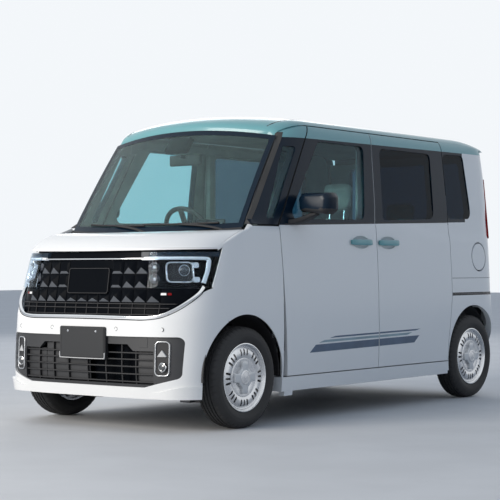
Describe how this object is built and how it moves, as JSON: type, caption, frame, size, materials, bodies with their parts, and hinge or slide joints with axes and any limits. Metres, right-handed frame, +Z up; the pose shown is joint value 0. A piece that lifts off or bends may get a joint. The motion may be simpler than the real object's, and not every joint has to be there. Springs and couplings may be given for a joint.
{
  "type": "tall kei car",
  "caption": "Tall box-shaped small car with two-tone paint, hinged front doors, sliding rear doors, top-hinged tailgate and steered front wheels.",
  "frame": {"origin": "centre of the car's bounding box, on the ground", "axes": "+X to the car's left, -Y to its front, +Z up"},
  "size_m": [1.909, 3.3925, 1.785],
  "materials": {
    "body_white": "gloss",
    "roof_mint": "gloss",
    "black_plastic": "matte",
    "black_gloss": "gloss",
    "lamp_clear": "gloss",
    "lamp_red": "gloss",
    "glass_clear": "clear",
    "glass_dark": "tinted",
    "underbody": "satin",
    "steel_dark": "satin",
    "cast_metal": "rough",
    "tyre_rubber": "matte",
    "rim_silver": "satin",
    "seat_cloth": "woven",
    "cabin_plastic": "grained",
    "fuel_plastic": "matte"
  },
  "bodies": {
    "body": {"floor_pan": "underbody", "cowl": "black_plastic", "body_side_left": "body_white", "body_side_right": "body_white", "roof": "roof_mint", "front_fenders": "body_white", "front_bumper": "body_white", "lower_intake": "black_plastic", "grille": "black_gloss", "headlamps": "lamp_clear", "windscreen": "glass_clear", "side_glass": "glass_dark", "slide_doors": "body_white", "slide_door_handles": "roof_mint", "rear_bumper": "body_white", "tail_lamps": "lamp_red", "dashboard": "cabin_plastic", "front_seats": "seat_cloth", "rear_seat": "seat_cloth", "engine": "cast_metal", "front_suspension": "steel_dark", "rear_axle": "steel_dark", "fuel_tank": "fuel_plastic", "exhaust": "steel_dark"},
    "knuckle_left": {"knuckle_left": "cast_metal"},
    "knuckle_right": {"knuckle_right": "cast_metal"},
    "wheel_fl": {"tyre_fl": "tyre_rubber", "rim_fl": "rim_silver"},
    "wheel_fr": {"tyre_fr": "tyre_rubber", "rim_fr": "rim_silver"},
    "wheel_rl": {"tyre_rl": "tyre_rubber", "rim_rl": "rim_silver"},
    "wheel_rr": {"tyre_rr": "tyre_rubber", "rim_rr": "rim_silver"},
    "steering_wheel": {"steering_wheel": "cabin_plastic"},
    "door_left": {"door_left": "body_white", "door_glass_left": "glass_clear", "door_mirror_left": "black_gloss", "door_handle_left": "roof_mint"},
    "door_right": {"door_right": "body_white", "door_glass_right": "glass_clear", "door_mirror_right": "black_gloss", "door_handle_right": "roof_mint"},
    "bonnet": {"bonnet": "body_white"},
    "tailgate": {"tailgate": "body_white", "tailgate_glass": "glass_dark"},
    "fuel_lid": {"fuel_lid": "body_white"}
  },
  "joints": [
    {"name": "steer_left", "type": "hinge", "parent": "body", "child": "knuckle_left", "pos_m": [0.57, -1.1705, 0.16], "axis": [-0.1203, 0, 0.9927], "range_deg": [-32, 32]},
    {"name": "steer_right", "type": "hinge", "parent": "body", "child": "knuckle_right", "pos_m": [-0.57, -1.1705, 0.16], "axis": [0.1203, 0, 0.9927], "range_deg": [-32, 32]},
    {"name": "steering_wheel_turn", "type": "hinge", "parent": "body", "child": "steering_wheel", "pos_m": [-0.34, -0.3945, 1.1], "axis": [0, 0.8829, 0.4695], "range_deg": [-480, 480]},
    {"name": "wheel_fl_spin", "type": "hinge", "parent": "knuckle_left", "child": "wheel_fl", "pos_m": [0.65, -1.1705, 0.2785], "axis": [1, 0, 0], "continuous": true},
    {"name": "wheel_fr_spin", "type": "hinge", "parent": "knuckle_right", "child": "wheel_fr", "pos_m": [-0.65, -1.1705, 0.2785], "axis": [1, 0, 0], "continuous": true},
    {"name": "wheel_rl_spin", "type": "hinge", "parent": "body", "child": "wheel_rl", "pos_m": [0.65, 1.3245, 0.2785], "axis": [1, 0, 0], "continuous": true},
    {"name": "wheel_rr_spin", "type": "hinge", "parent": "body", "child": "wheel_rr", "pos_m": [-0.65, 1.3245, 0.2785], "axis": [1, 0, 0], "continuous": true},
    {"name": "door_left_hinge", "type": "hinge", "parent": "body", "child": "door_left", "pos_m": [0.7075, -0.7795, 0.645], "axis": [0, 0, -1], "range_deg": [0, 65]},
    {"name": "door_right_hinge", "type": "hinge", "parent": "body", "child": "door_right", "pos_m": [-0.7075, -0.7795, 0.645], "axis": [0, 0, 1], "range_deg": [0, 65]},
    {"name": "bonnet_hinge", "type": "hinge", "parent": "body", "child": "bonnet", "pos_m": [0, -1.1605, 1.064], "axis": [-1, 0, 0], "range_deg": [0, 48]},
    {"name": "tailgate_hinge", "type": "hinge", "parent": "body", "child": "tailgate", "pos_m": [0, 1.6075, 1.70771], "axis": [1, 0, 0], "range_deg": [0, 80]},
    {"name": "fuel_lid_hinge", "type": "hinge", "parent": "body", "child": "fuel_lid", "pos_m": [0.72436, 1.3305, 0.951], "axis": [0, 0, -1], "range_deg": [0, 85]}
  ],
  "couplings": [
    {"joint": "steer_right", "follows": "steer_left", "ratio": 1},
    {"joint": "steering_wheel_turn", "follows": "steer_left", "ratio": 15}
  ]
}
